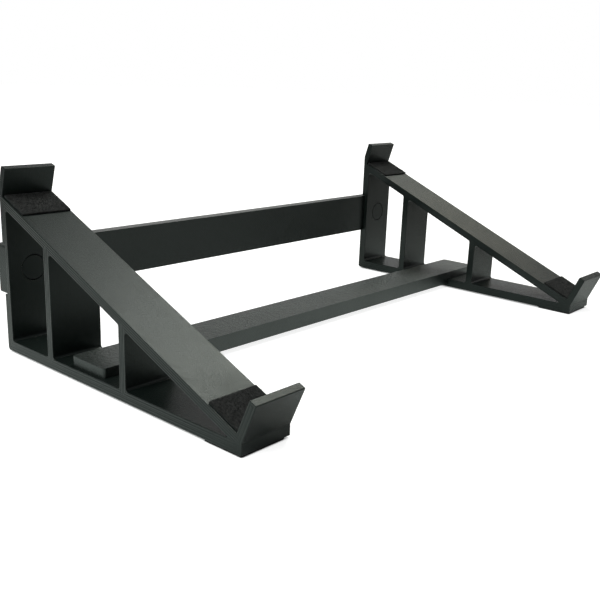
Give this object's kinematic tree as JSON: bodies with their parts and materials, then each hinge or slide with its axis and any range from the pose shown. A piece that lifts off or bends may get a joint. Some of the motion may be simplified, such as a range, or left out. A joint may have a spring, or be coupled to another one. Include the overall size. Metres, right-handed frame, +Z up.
{
  "type": "pedalboard riser stand",
  "caption": "Tilted knock-down riser stand for a small pedalboard: side frames with a front lip and a rear hook, tied by a halved lower rail and a notched rear rail, with felt pads.",
  "frame": {"origin": "middle of the footprint, on the floor under the foot pads", "axes": "+Z up, +X along the rails towards the viewer's right, +Y from the front lip to the rear hook"},
  "size_m": [0.3718, 0.2074, 0.1073],
  "materials": {
    "frame_plastic": "fine layered print lines, satin black",
    "rail_plastic": "fine grained, satin black",
    "peg_plastic": "satin black with fine rings",
    "seat_felt": "looped black felt",
    "foot_felt": "dense black felt"
  },
  "bodies": {
    "root": {"left_frame": "frame_plastic", "right_frame": "frame_plastic", "lower_rail": "rail_plastic", "rear_rail": "rail_plastic", "left_rear_peg": "peg_plastic", "right_rear_peg": "peg_plastic", "left_lower_peg": "peg_plastic", "right_lower_peg": "peg_plastic", "left_front_pad": "seat_felt", "left_front_foot": "foot_felt", "left_rear_pad": "seat_felt", "left_rear_foot": "foot_felt", "right_front_pad": "seat_felt", "right_front_foot": "foot_felt", "right_rear_pad": "seat_felt", "right_rear_foot": "foot_felt"}
  },
  "joints": []
}
